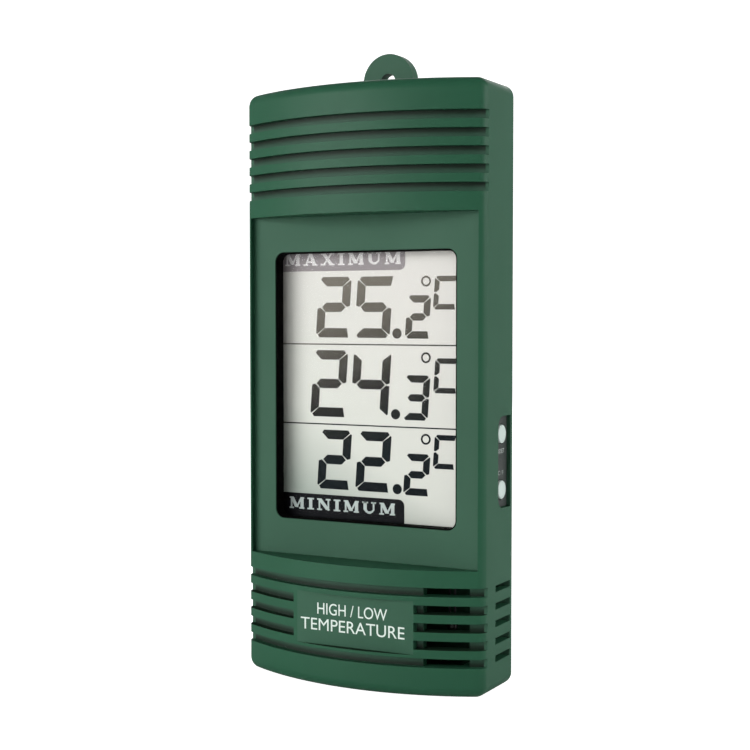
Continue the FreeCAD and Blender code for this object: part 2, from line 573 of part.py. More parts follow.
def make_rear_cover():
    """The flat back with its hanging eye, battery box, screw sleeves and locating rim."""
    cover = new_body("rear_cover")
    add(cover, "front", SEAM, BACK, rounded(f"-{HALF}", "0", HALF, TOP, "Dims.corner_radius"))
    round_edges(cover, "Dims.back_round", lambda edge: lies_at(edge, "y", number(BACK)))
    eye_z = f"{TOP} + Dims.eye_rise"
    joined = f"{SEAM} + {OVERLAP}"
    add(cover, "front", SEAM, BACK, eye_loop(f"{TOP} - Dims.eye_rise", eye_z))
    add(cover, "front", f"{BACK} - Dims.eye_thickness", SEAM, eye_loop(TOP, eye_z))
    cut(cover, "front", CREST, f"{BACK} + {PAST}", circle("0", eye_z, "Dims.eye_hole"))
    ring = "(Dims.door_gap + Dims.box_wall)"
    add(cover, "front", LEDGE, joined,
        rectangle(f"-({DOOR_SIDE} + {ring})", f"{DOOR_BASE} - {ring}", f"{DOOR_SIDE} + {ring}",
                  f"{DOOR_TOP} + {ring}"))
    wall = "Dims.box_wall"
    box_top = f"{CELL_Z} + {BOX_HALF} + {wall}"
    add(cover, "front", f"{CELL_Y} - {BOX_HALF} - {wall}", f"{LEDGE} + {OVERLAP}",
        rectangle(f"-({BOX_END} + {wall})", f"{CELL_Z} - {BOX_HALF} - {wall}", f"{BOX_END} + {wall}",
                  box_top))
    corners = ("Dims.screw_x", f"{TOP} - Dims.screw_margin", "Dims.screw_margin")
    add(cover, "front", SLEEVE_END, joined, *four(*corners, "Dims.sleeve_radius"))
    add(cover, "front", f"{SEAM} - Dims.rim_height", joined, rim_loop())
    gap = "Dims.door_gap"
    behind = f"{BACK} + {PAST}"
    cut(cover, "front", DOOR_FACE, behind,
        rounded(f"-({DOOR_SIDE} + {gap})", f"{DOOR_BASE} - {gap}", f"{DOOR_SIDE} + {gap}",
                f"{DOOR_TOP} + {gap}", f"(Dims.door_radius + {gap})"))
    cut(cover, "front", f"{CELL_Y} - {BOX_HALF}", behind,
        rectangle(f"-{BOX_END}", f"{CELL_Z} - {BOX_HALF}", BOX_END, f"{CELL_Z} + {BOX_HALF}"))
    cut(cover, "front", f"{LEDGE} - {PAST}", f"{DOOR_FACE} + Dims.tongue_thickness + {gap} / 2",
        *tongue_loops(gap, "Dims.door_thickness"))
    half_latch = f"(Dims.latch_width / 2 + {gap})"
    cut(cover, "front", f"{LEDGE} - {PAST}", behind,
        rectangle(f"-{half_latch}", box_top, half_latch, f"{LATCH_SWEEP} + {gap}"))
    tab = "(Dims.tab_width / 2 + Dims.fit_gap)"
    slot = f"({BOX_END} - Dims.contact_thickness - Dims.fit_gap)"
    for left, right in ((slot, BOX_END), (f"-{BOX_END}", f"-{slot}")):
        cut(cover, "top", f"{CELL_Z} - {BOX_HALF} - {wall} - {PAST}", f"{CELL_Z} - {BOX_HALF} + {OVERLAP}",
            rectangle(left, f"{CELL_Y} - {tab}", right, f"{CELL_Y} + {tab}"))
    cut(cover, "front", HEAD_SEAT, behind, *four(*corners, "Dims.head_radius + Dims.running_gap"))
    cut(cover, "front", f"{SLEEVE_END} - {PAST}", behind, *four(*corners, "Dims.shank_radius + Dims.fit_gap"))
    return cover


def make_battery_door():
    """The door: a flat panel, two tongues at its lower edge and a bent spring latch at its upper one."""
    door = new_body("battery_door")
    add(door, "front", DOOR_FACE, BACK,
        rounded(f"-{DOOR_SIDE}", DOOR_BASE, DOOR_SIDE, DOOR_TOP, "Dims.door_radius"))
    add(door, "front", DOOR_FACE, f"{DOOR_FACE} + Dims.tongue_thickness",
        *tongue_loops("0", "Dims.tongue_thickness"))
    strip = "Dims.latch_strip"
    face = f"{BACK} - Dims.latch_setback"
    half = "(Dims.latch_width / 2)"
    root = f"{DOOR_FACE} + Dims.latch_root"
    bend = [(root, DOOR_TOP), (root, f"{DOOR_TOP} - {strip}"),
            (LATCH_INNER, f"{DOOR_TOP} - {strip}"), (LATCH_INNER, LATCH_TOP), (face, LATCH_TOP),
            (face, f"{LATCH_TOP} - {strip}"), (f"{LATCH_INNER} + {strip}", f"{LATCH_TOP} - {strip}"),
            (f"{LATCH_INNER} + {strip}", DOOR_TOP)]
    add(door, "side", f"-{half}", half, bend)
    return door


# ---------------------------------------------------------------- window and display
def make_bezel():
    """The black frame: a thin rim that lines the opening, and a wider part that holds the lens."""
    rim = "(Dims.bezel_gap + Dims.bezel_rim)"
    bezel = new_body("display_bezel")
    add(bezel, "front", BEZEL, f"{INNER} + {OVERLAP}",
        centred("(Dims.window_width - 2 * Dims.bezel_gap)", "(Dims.window_height - 2 * Dims.bezel_gap)",
                MIDDLE, "(Dims.window_radius - Dims.bezel_gap)"))
    wide = f"({rim} - Dims.lens_overlap - Dims.fit_gap - Dims.bezel_wall)"
    add(bezel, "front", INNER, DISPLAY, centred(f"(Dims.window_width - 2 * {wide})",
                                                f"(Dims.window_height - 2 * {wide})", MIDDLE))
    cut(bezel, "front", f"{BEZEL} - {PAST}", f"{DISPLAY} + {PAST}",
        centred(f"(Dims.window_width - 2 * {rim})", f"(Dims.window_height - 2 * {rim})", MIDDLE,
                f"(Dims.window_radius - {rim})"))
    pocket = f"({rim} - Dims.lens_overlap - Dims.fit_gap)"
    cut(bezel, "front", LENS, f"{DISPLAY} + {PAST}",
        centred(f"(Dims.window_width - 2 * {pocket})", f"(Dims.window_height - 2 * {pocket})", MIDDLE))
    return bezel


def make_display():
    """The lens, the display's films and glasses, and the two rubber connectors behind its ledges."""
    rim = "(Dims.bezel_gap + Dims.bezel_rim - Dims.lens_overlap)"
    lens = slab("window_lens", "front", LENS, f"{LENS} + Dims.lens_thickness",
                centred(f"(Dims.window_width - 2 * {rim})", f"(Dims.window_height - 2 * {rim})", MIDDLE))
    short = "(Dims.display_height - 2 * Dims.display_ledge)"
    films = [slab(label, "front", near, f"{near} + Dims.film_thickness",
                  centred("(Dims.display_width - 2 * Dims.film_inset)", f"({short} - 2 * {inset})", MIDDLE))
             for label, near, inset in (("lcd_front_polariser", DISPLAY, "(Dims.film_inset / 2)"),
                                        ("lcd_reflector", REFLECTOR, "Dims.film_inset"))]
    front = slab("lcd_front_glass", "front", FRONT_GLASS, REAR_GLASS,
                 centred("Dims.display_width", "Dims.display_height", MIDDLE))
    rear = slab("lcd_rear_glass", "front", REAR_GLASS, REFLECTOR,
                centred("Dims.display_width", short, MIDDLE))
    strips = [slab(f"zebra_strip_{name}", "front", REAR_GLASS, BOARD,
                   centred("Dims.zebra_length", "Dims.zebra_width",
                           f"{MIDDLE} {sign} (Dims.display_height - Dims.display_ledge) / 2"))
              for name, sign in (("upper", "+"), ("lower", "-"))]
    return [lens, *films, front, rear, *strips]


# ---------------------------------------------------------------- circuit board and what it carries
# The places of the chip capacitors: distance to the right of the board's middle and above it.
CAPACITORS = ((-16, 24), (-16, 20), (-9, 24), (9, -22), (13, -22))


def make_board():
    """The board with its screw holes, and the chip, crystal and capacitors on its back."""
    board = new_body("circuit_board")
    add(board, "front", BOARD, BOARD_BACK, centred(BOARD_WIDTH, "Dims.board_height", MIDDLE))
    places = ("Dims.board_screw_x", f"{MIDDLE} + Dims.board_screw_z", f"{MIDDLE} - Dims.board_screw_z")
    cut(board, "front", f"{BOARD} - {PAST}", f"{BOARD_BACK} + {PAST}",
        *four(*places, "Dims.small_shank_radius + Dims.fit_gap"))
    blob_face = f"{BOARD_BACK} + Dims.chip_height"
    blob = slab("chip_blob", "front", BOARD_BACK, blob_face,
                circle("-Dims.chip_x", f"{MIDDLE} + Dims.chip_z", "Dims.chip_radius"))
    round_edges(blob, "Dims.chip_round", lambda edge: lies_at(edge, "y", number(blob_face)))
    crystal = slab("timing_crystal", "side", "Dims.crystal_start", "Dims.crystal_start + Dims.crystal_length",
                   circle(f"{BOARD_BACK} + Dims.crystal_radius", f"{MIDDLE} + Dims.crystal_z",
                          "Dims.crystal_radius"))
    capacitors = new_body("chip_capacitors", group=True)
    half, rise = "Dims.capacitor_length / 2", "Dims.capacitor_width / 2"
    add(capacitors, "front", BOARD_BACK, f"{BOARD_BACK} + Dims.capacitor_height",
        *[rectangle(f"{x} - {half}", f"{MIDDLE} + {z} - {rise}", f"{x} + {half}", f"{MIDDLE} + {z} + {rise}")
          for x, z in CAPACITORS])
    return [board, blob, crystal, capacitors]


def make_switch(name, height):
    """A side-pressed switch on the board's back, and its plunger, which moves with the button."""
    near = f"{SWITCH} - Dims.switch_depth"
    switch = new_body(f"{name}_switch_body")
    half = "Dims.switch_length / 2"
    add(switch, "side", near, SWITCH,
        rectangle(BOARD_BACK, f"{height} - {half}", f"{BOARD_BACK} + Dims.switch_height",
                  f"{height} + {half}"))
    bore_end = f"{SWITCH} - Dims.plunger_depth - Dims.button_travel - Dims.running_gap"
    cut(switch, "side", bore_end, f"{SWITCH} + {PAST}",
        circle(BUTTON_Y, height, "Dims.plunger_radius + Dims.fit_gap"))
    plunger = slab(f"{name}_switch_plunger", "side", f"{SWITCH} - Dims.plunger_depth", FLANGE,
                   circle(BUTTON_Y, height, "Dims.plunger_radius"))
    return [switch, plunger]


def make_button(name, height):
    """A round button with an inner flange that keeps it in the case."""
    button = slab(f"{name}_button", "side", FLANGE, f"{FLANGE} + Dims.flange_thickness",
                  circle(BUTTON_Y, height, "Dims.flange_radius"))
    face = f"{HALF} - Dims.button_sink"
    add(button, "side", f"{FLANGE} + Dims.flange_thickness", face,
        circle(BUTTON_Y, height, "Dims.button_radius"))
    round_edges(button, "Dims.button_edge", lambda edge: lies_at(edge, "x", number(face)))
    return button


def make_button_plate():
    """The thin black plate that frames the two buttons."""
    plate = new_body("button_plate")
    add(plate, "side", LEGEND_FLOOR, f"{LEGEND_FLOOR} + Dims.legend_thickness", legend_loop("Dims.fit_gap"))
    cut(plate, "side", f"{LEGEND_FLOOR} - {PAST}", f"{HALF} + {PAST}", *button_circles(BUTTON_HOLE))
    return plate


def make_sensor():
    """The coated bead in the vented corner, and its two leads up to the board's lower edge."""
    top = "(Dims.sensor_z + Dims.sensor_length / 2)"
    bead = slab("thermistor", "top", f"{top} - Dims.sensor_length", top,
                circle("Dims.sensor_x", SENSOR_Y, "Dims.sensor_radius"))
    base = number(f"{top} - Dims.sensor_length")
    round_edges(bead, "Dims.sensor_round", lambda edge: lies_at(edge, "z", base))
    leads = new_body("thermistor_leads", group=True)
    add(leads, "top", top, f"{BOARD_BASE} + Dims.lead_lap",
        *[circle(f"Dims.sensor_x {sign} Dims.lead_spacing / 2", SENSOR_Y, "Dims.lead_radius")
          for sign in ("-", "+")])
    return [bead, leads]


# ---------------------------------------------------------------- battery and its contacts
def make_cell():
    """The AAA cell, lying across the case with its positive nub to the right."""
    shoulder = f"{CELL_TIP} - Dims.nub_length"
    cell = slab("battery_cell", "side", CELL_END, shoulder, circle(CELL_Y, CELL_Z, "Dims.cell_radius"))
    ends = (number(CELL_END), number(shoulder))
    round_edges(cell, "Dims.cell_round", lambda edge: any(lies_at(edge, "x", end) for end in ends))
    add(cell, "side", shoulder, CELL_TIP, circle(CELL_Y, CELL_Z, "Dims.nub_radius"))
    return cell


def make_contacts():
    """The flat positive contact, the bent negative spring contact, and the lead soldered to each."""
    half = "(Dims.contact_width / 2)"
    tab_end = f"{CELL_Z} - {BOX_HALF} - Dims.box_wall - Dims.tab_length"
    tab = "Dims.tab_width / 2"
    low, high = f"{CELL_Z} - {half}", f"{CELL_Z} + {half}"
    plus = slab("battery_contact_plus", "side", CELL_TIP, BOX_END,
                rectangle(f"{CELL_Y} - {half}", low, f"{CELL_Y} + {half}", high))
    add(plus, "side", CELL_TIP, BOX_END, rectangle(f"{CELL_Y} - {tab}", tab_end, f"{CELL_Y} + {tab}", low))
    minus = slab("battery_contact_minus", "side", f"-{BOX_END}", f"-{CELL_TIP}",
                 rectangle(f"{CELL_Y} - {half}", low, f"{CELL_Y} + {half}", high))
    add(minus, "side", f"-{BOX_END}", f"-{CELL_TIP}",
        rectangle(f"{CELL_Y} - {tab}", tab_end, f"{CELL_Y} + {tab}", low))
    metal = "Dims.contact_thickness"
    along = f"{metal} * sqrt(2)"
    flat = "Dims.spring_face / 2"
    far = f"{CELL_Y} - {half} + Dims.spring_root"
    spring = [(f"-{CELL_TIP}", f"{CELL_Y} + {half}"), (f"-{CELL_TIP}", f"{CELL_Y} + {half} - {along}"),
              (f"{CELL_END} - {metal}", f"{CELL_Y} + {flat}"),
              (f"{CELL_END} - {metal}", f"{CELL_Y} - {flat}"),
              (f"-{CELL_TIP} + {metal}", far), (f"-{CELL_TIP} + {metal}", f"{far} - {along}"),
              (CELL_END, f"{CELL_Y} - {flat} - {metal} / 2"), (CELL_END, f"{CELL_Y} + {flat} + {metal} / 2")]
    add(minus, "top", f"{CELL_Z} - Dims.nub_radius", f"{CELL_Z} + Dims.nub_radius", spring)
    middle = f"({BOX_END} - Dims.contact_thickness / 2)"
    leads = [slab(f"{name}_lead", "top", f"{BOARD_TOP} - Dims.wire_lap", tab_end,
                  circle(f"{side}{middle}", CELL_Y, "Dims.wire_radius"))
             for name, side in (("positive", ""), ("negative", "-"))]
    return [plus, minus, *leads]


# ---------------------------------------------------------------- screws
def cross_loops(across, upper, lower, head):
    """A cross-shaped recess for a screwdriver at each of four mirrored places."""
    arm = f"({head} * Dims.cross_reach)"
    slot = f"({head} * Dims.cross_slot)"
    loops = []
    for side in ("", "-"):
        for up in (upper, lower):
            x = f"{side}{across}"
            loops.append([(f"{x} - {arm}", f"{up} - {slot}"), (f"{x} - {slot}", f"{up} - {slot}"),
                          (f"{x} - {slot}", f"{up} - {arm}"), (f"{x} + {slot}", f"{up} - {arm}"),
                          (f"{x} + {slot}", f"{up} - {slot}"), (f"{x} + {arm}", f"{up} - {slot}"),
                          (f"{x} + {arm}", f"{up} + {slot}"), (f"{x} + {slot}", f"{up} + {slot}"),
                          (f"{x} + {slot}", f"{up} + {arm}"), (f"{x} - {slot}", f"{up} + {arm}"),
                          (f"{x} - {slot}", f"{up} + {slot}"), (f"{x} - {arm}", f"{up} + {slot}")])
    return loops


def make_screws(label, places, seat, prefix):
    """Four identical cross-head screws, driven from the back."""
    screws = new_body(label, group=True)
    head_top = f"{seat} + Dims.{prefix}head_height"
    add(screws, "front", f"{seat} - Dims.{prefix}shank_length", seat,
        *four(*places, f"Dims.{prefix}shank_radius"))
    add(screws, "front", seat, head_top, *four(*places, f"Dims.{prefix}head_radius"))
    cut(screws, "front", f"{head_top} - Dims.{prefix}head_height * Dims.cross_depth", f"{head_top} + {PAST}",
        *cross_loops(*places, f"Dims.{prefix}head_radius"))
    return screws


# ---------------------------------------------------------------- the assembly
pieces = [make_front_shell(), make_rear_cover(), make_battery_door(), make_bezel(), *make_display(),
          *make_board(), make_button_plate(), *make_sensor(), make_cell(), *make_contacts()]
for button_name, button_height in (("clear", "Dims.upper_button"), ("unit", "Dims.lower_button")):
    pieces += [make_button(button_name, button_height), *make_switch(button_name, button_height)]
case_places = ("Dims.screw_x", f"{TOP} - Dims.screw_margin", "Dims.screw_margin")
board_places = ("Dims.board_screw_x", f"{MIDDLE} + Dims.board_screw_z", f"{MIDDLE} - Dims.board_screw_z")
pieces.append(make_screws("case_screws", case_places, HEAD_SEAT, ""))
pieces.append(make_screws("board_screws", board_places, BOARD_BACK, "small_"))

doc.recompute()
for item in doc.Objects:
    if "Invalid" in item.State or "Error" in item.State:
        raise RuntimeError(f"{item.Label} did not build: {item.State}")
os.makedirs("parts", exist_ok=True)
for piece in pieces:
    piece.Placement = Placement(Vector(0, 0, 0), Rotation())
    shape = piece.Shape
    if shape.isNull() or not shape.isValid():
        raise RuntimeError(f"{piece.Label} has no valid shape")
    shape.exportStep(f"parts/{piece.Label}.step")
    print(f"{piece.Label:24} {len(shape.Solids):2} solids  {shape.Volume:10.1f} mm3")
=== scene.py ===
"""The looks of a digital maximum and minimum thermometer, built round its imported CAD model."""

import math

import bmesh
import bpy
import numpy as np
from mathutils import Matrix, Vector


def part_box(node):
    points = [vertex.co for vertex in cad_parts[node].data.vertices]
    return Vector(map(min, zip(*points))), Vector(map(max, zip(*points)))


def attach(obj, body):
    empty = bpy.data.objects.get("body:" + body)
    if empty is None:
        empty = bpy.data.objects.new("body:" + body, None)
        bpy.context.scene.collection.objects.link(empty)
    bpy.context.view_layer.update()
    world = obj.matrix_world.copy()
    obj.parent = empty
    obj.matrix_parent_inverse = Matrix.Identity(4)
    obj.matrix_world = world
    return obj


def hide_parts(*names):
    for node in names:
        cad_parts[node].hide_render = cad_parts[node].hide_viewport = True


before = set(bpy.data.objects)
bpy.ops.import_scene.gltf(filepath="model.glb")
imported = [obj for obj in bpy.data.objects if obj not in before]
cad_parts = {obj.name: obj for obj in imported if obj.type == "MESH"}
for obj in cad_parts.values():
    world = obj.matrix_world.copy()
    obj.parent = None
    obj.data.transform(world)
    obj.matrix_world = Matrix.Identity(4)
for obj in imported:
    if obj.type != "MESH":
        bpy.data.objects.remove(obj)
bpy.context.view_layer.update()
MM = 0.001


# ------------------------------------------------------------------ places, read from the frame, in mm
def span(node, axis):
    """A node's lowest and highest value along one axis, in mm."""
    low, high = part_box(node)
    return low[axis] / MM, high[axis] / MM


CASE_HALF = span("front_shell", 0)[1]
CASE_TOP = span("front_shell", 2)[1]
CREST = span("front_shell", 1)[0]
BEZEL_SETBACK = 0.15
PANEL = span("display_bezel", 1)[0] - BEZEL_SETBACK
DISPLAY = span("lcd_front_polariser", 1)[0]
# The thickness of print and of the display's marks, and the step between marks that cross.
INK = 0.03
INK_STEP = 0.004
# The grooves repeat at this pitch, from the top of the highest one and from the base of the lowest one.
GROOVE_PITCH = 4.47
GROOVE_DEPTH = 2.0
UPPER_GROOVE_TOP = CASE_TOP - 8.15
LOWER_GROOVE_BASE = 7.7
# The bands are arcs that stand out by the bulge at the middle of the case's width.
BULGE = 9.1
BAND_RADIUS = (CASE_HALF ** 2 + BULGE ** 2) / (2 * BULGE)
BAND_CENTRE = CREST + BAND_RADIUS
# The flat name plate is a chord of the lower band between these two distances from the middle.
PLATE_ENDS = (-15.1, 18.4)


# ------------------------------------------------------------------ materials
def linear(code, alpha=1.0):
    """An sRGB hex colour as the linear colour that a shader takes."""
    channels = [int(code[i:i + 2], 16) / 255 for i in (1, 3, 5)]
    return (*[c / 12.92 if c <= 0.04045 else ((c + 0.055) / 1.055) ** 2.4 for c in channels], alpha)


def node(tree, kind, settings=None, links=None):
    """Adds a shader node, sets its sockets or properties, and links sockets to other nodes' outputs."""
    made = tree.nodes.new(kind)
    for key, value in (settings or {}).items():
        if isinstance(key, int) or key in made.inputs:
            made.inputs[key].default_value = value
        else:
            setattr(made, key, value)
    for key, (source, output) in (links or {}).items():
        tree.links.new(source.outputs[output], made.inputs[key])
    return made


SOCKETS = {"color": "Base Color", "ior": "IOR", "specular": "Specular IOR Level", "coat": "Coat Weight",
           "transmission": "Transmission Weight", "metallic": "Metallic", "roughness": "Roughness",
           "alpha": "Alpha"}


def new_material(name, **settings):
    """A material with one Principled shader, whose constant sockets are set directly."""
    material = bpy.data.materials.new(name)
    material.use_nodes = True
    shader = material.node_tree.nodes["Principled BSDF"]
    for key, value in settings.items():
        shader.inputs[SOCKETS[key]].default_value = value
    return material, material.node_tree, shader


def add_grain(tree, shader, place, grain_mm, depth_mm, roughness):
    """Bump from a noise whose spots are grain_mm wide and depth_mm deep."""
    grain = node(tree, "ShaderNodeTexNoise",
                 {"Scale": 1 / (grain_mm * MM), "Detail": 2.0, "Roughness": roughness},
                 {"Vector": (place, "Object")})
    bump = node(tree, "ShaderNodeBump", {"Strength": 1.0, "Distance": depth_mm * MM},
                {"Height": (grain, "Fac")})
    tree.links.new(bump.outputs["Normal"], shader.inputs["Normal"])


def moulded_plastic(name, colour, shade, roughness, grain_mm, depth_mm, specular=0.5):
    """Injection-moulded ABS: one colour that drifts a little, with the fine grain of a spark-eroded mould."""
    material, tree, shader = new_material(name, roughness=roughness, ior=1.53, specular=specular)
    place = node(tree, "ShaderNodeTexCoord")
    drift = node(tree, "ShaderNodeTexNoise", {"Scale": 1 / (26 * MM), "Detail": 3.0},
                 {"Vector": (place, "Object")})
    blend = node(tree, "ShaderNodeMix", {"data_type": "RGBA", 6: linear(colour), 7: linear(shade)},
                 {"Factor": (drift, "Fac")})
    tree.links.new(blend.outputs[2], shader.inputs["Base Color"])
    add_grain(tree, shader, place, grain_mm, depth_mm, 0.6)
    wear = node(tree, "ShaderNodeMapRange", {"To Min": roughness - 0.05, "To Max": roughness + 0.07},
                {"Value": (drift, "Fac")})
    tree.links.new(wear.outputs["Result"], shader.inputs["Roughness"])
    return material


def groove_floor(name, painted_shade_colour, near_colour, roughness):
    """The floor of the grooves, with painted shade: darker beside the rib that is farther from the window.
    The share is the distance from that rib divided by the pitch, with its whole part dropped: 0 at each
    groove's far rib."""
    material, tree, shader = new_material(name, roughness=roughness, ior=1.53, specular=0.25)
    place = node(tree, "ShaderNodeTexCoord")
    apart = node(tree, "ShaderNodeSeparateXYZ", links={"Vector": (place, "Object")})
    shares = []
    for edge, towards in ((UPPER_GROOVE_TOP, -1), (LOWER_GROOVE_BASE, 1)):
        rise = node(tree, "ShaderNodeMath",
                    {"operation": "MULTIPLY_ADD", 1: towards / (GROOVE_PITCH * MM),
                     2: -towards * edge / GROOVE_PITCH}, {0: (apart, "Z")})
        shares.append(node(tree, "ShaderNodeMath", {"operation": "FRACT"}, {0: (rise, "Value")}))
    upper = node(tree, "ShaderNodeMath", {"operation": "GREATER_THAN", 1: CASE_TOP * MM / 2},
                 {0: (apart, "Z")})
    chosen = node(tree, "ShaderNodeMix", {"data_type": "FLOAT"},
                  {0: (upper, "Value"), 2: (shares[1], "Value"), 3: (shares[0], "Value")})
    ramp = node(tree, "ShaderNodeValToRGB", links={"Fac": (chosen, "Result")})
    ramp.color_ramp.interpolation = "EASE"
    for element, (at, colour) in zip(ramp.color_ramp.elements, ((0.1, painted_shade_colour), (0.42, near_colour))):
        element.position = at
        element.color = linear(colour)
    tree.links.new(ramp.outputs["Color"], shader.inputs["Base Color"])
    add_grain(tree, shader, place, 0.22, 0.01, 0.5)
    return material


def plain(name, colour, **settings):
    """A material of one colour, for small inner pieces, with a faint cloudiness in its roughness."""
    material, tree, shader = new_material(name, color=linear(colour), **settings)
    place = node(tree, "ShaderNodeTexCoord")
    cloud = node(tree, "ShaderNodeTexNoise", {"Scale": 1 / (2 * MM), "Detail": 2.0},
                 {"Vector": (place, "Object")})
    rough = settings.get("roughness", 0.5)
    spread = node(tree, "ShaderNodeMapRange", {"To Min": rough * 0.85, "To Max": min(1.0, rough * 1.15)},
                  {"Value": (cloud, "Fac")})
    tree.links.new(spread.outputs["Result"], shader.inputs["Roughness"])
    return material


def painted_light_ramp(name, low_mm, high_mm, lean, stops, **settings):
    """A colour that changes with height plus a share of the distance to the right: painted light and shade,
    standing in for how the light falls on a reflective display and how its contrast changes with the angle
    that each part of it is seen at."""
    material, tree, shader = new_material(name, **settings)
    place = node(tree, "ShaderNodeTexCoord")
    apart = node(tree, "ShaderNodeSeparateXYZ", links={"Vector": (place, "Object")})
    aslant = node(tree, "ShaderNodeMath", {"operation": "MULTIPLY_ADD", 1: lean},
                  {0: (apart, "X"), 2: (apart, "Z")})
    share = node(tree, "ShaderNodeMapRange", {"From Min": low_mm * MM, "From Max": high_mm * MM},
                 {"Value": (aslant, "Value")})
    ramp = node(tree, "ShaderNodeValToRGB", links={"Fac": (share, "Result")})
    while len(ramp.color_ramp.elements) < len(stops):
        ramp.color_ramp.elements.new(0.5)
    for element, (at, colour) in zip(ramp.color_ramp.elements, stops):
        element.position = at
        element.color = linear(colour)
    tree.links.new(ramp.outputs["Color"], shader.inputs["Base Color"])
    return material


# The case is ABS, injection moulded in self-coloured green. The bands come from a smoother part of the mould,
# so they have a soft sheen; the flat faces come from a spark-eroded part, which leaves an even matt grain.
# A real grain is 0.05 to 0.1 mm wide, and it is drawn two to three times as coarse so that it shows.
green_satin = moulded_plastic("abs_green_satin", "#26553e", "#224d38", 0.45, 0.30, 0.003, specular=0.14)
green_grained = moulded_plastic("abs_green_grained", "#29553f", "#254e3a", 0.62, 0.22, 0.010, specular=0.28)
# The grooves' sides hold less gloss, and their near-black colour is painted shade for the little light
# that reaches between two ribs.
green_groove = moulded_plastic("abs_green_groove_side_painted_shade", "#16301f", "#132a1c", 0.7, 0.25, 0.006, specular=0.1)
# The groove floors' dark colour beside one rib of each groove is painted shade.
green_floor_painted_shade = groove_floor("abs_green_groove_floor_painted_shade", "#0b2114", "#2a4d3c", 0.62)
# Black ABS, matt so that the display's surround throws no light on the marks.
bezel_black = moulded_plastic("abs_black_bezel", "#010101", "#020202", 0.7, 0.25, 0.002, specular=0.04)
# A polycarbonate film with a velvet face: a grey black with a broad dull gloss.
plate_black = moulded_plastic("polycarbonate_black_film", "#2c3431", "#272e2b", 0.5, 0.18, 0.004)
# White ABS, moulded smooth: a faint cool tint and a soft gloss.
button_white = moulded_plastic("abs_white_button", "#c4d3cd", "#bdccc6", 0.42, 0.3, 0.003)
# Cast acrylic, so clear that only a share of alpha carries its gloss.
lens_clear, _, _ = new_material("acrylic_lens", color=(0, 0, 0, 1), roughness=0.03, ior=1.49, specular=0.3,
                                alpha=0.04)
# A reflective display: a pale grey ground behind a matt polariser, with dark marks. The ground's darker
# bottom left and the marks' fade to brown towards the top are painted light and shade.
display_face = painted_light_ramp("lcd_reflective_ground", 36, 108, 0.6,
                      [(0.0, "#b0bbb1"), (0.3, "#e2e5dc"), (1.0, "#e6e4de")], roughness=0.5, specular=0.1)
display_ink = painted_light_ramp("lcd_dark_segments", 44, 106, -0.25,
                     [(0.0, "#0f161a"), (0.25, "#151d20"), (0.55, "#2e2e2a"), (1.0, "#79746a")],
                     roughness=0.5, specular=0.05)
# The word tabs and their clear words grow lighter towards the top: painted light, as on the rest of the
# display.
tab_ink = painted_light_ramp("lcd_word_tabs", 42, 112, 0.0,
                 [(0.0, "#17181c"), (0.2, "#17181c"), (0.8, "#8e8789"), (1.0, "#a19b9c")], roughness=0.5,
                 specular=0.05)
tab_words = painted_light_ramp("lcd_clear_words", 42, 112, 0.0, [(0.0, "#c3d0cc"), (1.0, "#e9e7e6")], roughness=0.5,
                   specular=0.05)
# Screen print: a flat, slightly chalky layer.
print_white = plain("screen_print_white", "#d5e2da", roughness=0.45)
print_grey = plain("screen_print_legend", "#a9b2ad", roughness=0.5)
# Soda-lime glass, polished, with the faint green of its iron.
glass_clear, _, _ = new_material("display_glass", color=(0.9, 0.95, 0.92, 1), roughness=0.02, ior=1.52,
                                 transmission=1.0)
sleeve_black = plain("lead_sleeving", "#19191b", roughness=0.5)
# The pieces inside and on the back that keep their CAD shape. Bare metals are drawn or plated, so they have a
# blurred mirror; resins and the board's lacquer have a wet gloss; rubber and sleeving are dull.
CAD_FINISHES = {
    "lcd_rear_glass": glass_clear, "lcd_front_glass": glass_clear,
    "lcd_reflector": plain("aluminised_reflector", "#c9ccc7", metallic=1.0, roughness=0.35),
    "zebra_strip_upper": plain("silicone_connector", "#38383a", roughness=0.6),
    "circuit_board": plain("solder_mask_green", "#1f5236", roughness=0.35, coat=0.3),
    "chip_blob": plain("epoxy_black", "#121212", roughness=0.3),
    "timing_crystal": plain("nickel_can", "#c8c6bf", metallic=1.0, roughness=0.25),
    "chip_capacitors": plain("ceramic_capacitor", "#8b6a47", roughness=0.5),
    "thermistor": plain("epoxy_bead", "#1b1714", roughness=0.25),
    "thermistor_leads": sleeve_black,
    "battery_cell": plain("cell_wrapper", "#27344d", roughness=0.35, coat=0.4),
    "battery_contact_plus": plain("nickel_strip", "#cbc8be", metallic=1.0, roughness=0.3),
    "positive_lead": plain("pvc_red", "#a4261f", roughness=0.45),
    "negative_lead": plain("pvc_black", "#1c1c1e", roughness=0.45),
    "clear_switch_body": bezel_black, "unit_switch_body": bezel_black,
    "clear_switch_plunger": button_white, "unit_switch_plunger": button_white,
    "case_screws": plain("zinc_plated_steel", "#b4b6b8", metallic=1.0, roughness=0.32),
    "window_lens": lens_clear, "lcd_front_polariser": display_face,
}
CAD_FINISHES["zebra_strip_lower"] = CAD_FINISHES["zebra_strip_upper"]
CAD_FINISHES["battery_contact_minus"] = CAD_FINISHES["battery_contact_plus"]
CAD_FINISHES["board_screws"] = CAD_FINISHES["case_screws"]
for name, finish in CAD_FINISHES.items():
    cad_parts[name].data.materials.clear()
    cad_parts[name].data.materials.append(finish)


# ------------------------------------------------------------------ pieces
def add_piece(name, mesh, body, finishes, stands_for=()):
    """Puts a finished mesh into the scene, on its body and with its materials."""
    piece = bpy.data.objects.new(name, mesh)
    bpy.context.scene.collection.objects.link(piece)
    for finish in finishes:
        mesh.materials.append(finish)
    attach(piece, body)
    if stands_for:
        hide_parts(*stands_for)
    return piece


